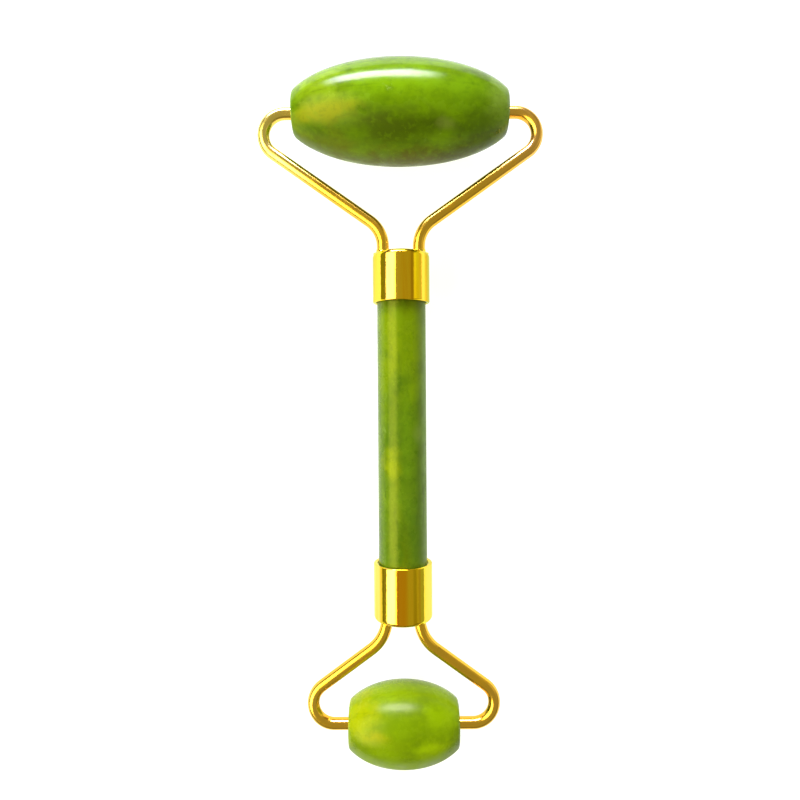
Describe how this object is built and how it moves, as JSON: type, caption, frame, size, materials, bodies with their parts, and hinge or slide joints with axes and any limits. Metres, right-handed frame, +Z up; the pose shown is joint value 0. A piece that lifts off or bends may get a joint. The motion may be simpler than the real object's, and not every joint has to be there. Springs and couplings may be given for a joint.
{
  "type": "jade face roller",
  "caption": "Double-ended face massager: a polished green stone handle with gold ferrules and bent wire yokes that carry a large and a small free-spinning stone roller.",
  "frame": {"origin": "centre of the bounding box on the surface the roller lies on", "axes": "+Y along the tool towards the large roller, +X to its right, +Z up from the surface; both rollers touch Z = 0"},
  "size_m": [0.0586, 0.1452, 0.0208],
  "materials": {
    "jade_handle": "polished green jade with lengthwise streaks",
    "jade_large_roller": "polished green jade with yellow-green and olive bands",
    "jade_small_roller": "polished lime green jade",
    "gold_plated_brass": "mirror-bright gold plating",
    "gold_plated_solder": "gold plating over a solder fillet",
    "white_nylon": "moulded nylon",
    "clear_epoxy": "cured amber adhesive"
  },
  "bodies": {
    "handle_frame": {"handle_rod": "jade_handle", "large_ferrule": "gold_plated_brass", "small_ferrule": "gold_plated_brass", "large_ferrule_adhesive": "clear_epoxy", "small_ferrule_adhesive": "clear_epoxy", "large_arm_left": "gold_plated_brass", "large_arm_right": "gold_plated_brass", "small_arm_left": "gold_plated_brass", "small_arm_right": "gold_plated_brass", "large_solder_left": "gold_plated_solder", "large_solder_right": "gold_plated_solder", "small_solder_left": "gold_plated_solder", "small_solder_right": "gold_plated_solder"},
    "large_roller": {"large_roller_stone": "jade_large_roller", "large_roller_bushing_left": "white_nylon", "large_roller_bushing_right": "white_nylon"},
    "small_roller": {"small_roller_stone": "jade_small_roller", "small_roller_bushing_left": "white_nylon", "small_roller_bushing_right": "white_nylon"}
  },
  "joints": [
    {"name": "large_roller_spin", "type": "hinge", "parent": "handle_frame", "child": "large_roller", "pos_m": [0, 0.06219, 0.0104], "axis": [1, 0, 0], "continuous": true},
    {"name": "small_roller_spin", "type": "hinge", "parent": "handle_frame", "child": "small_roller", "pos_m": [0, -0.06409, 0.0085], "axis": [1, 0, 0], "continuous": true}
  ]
}
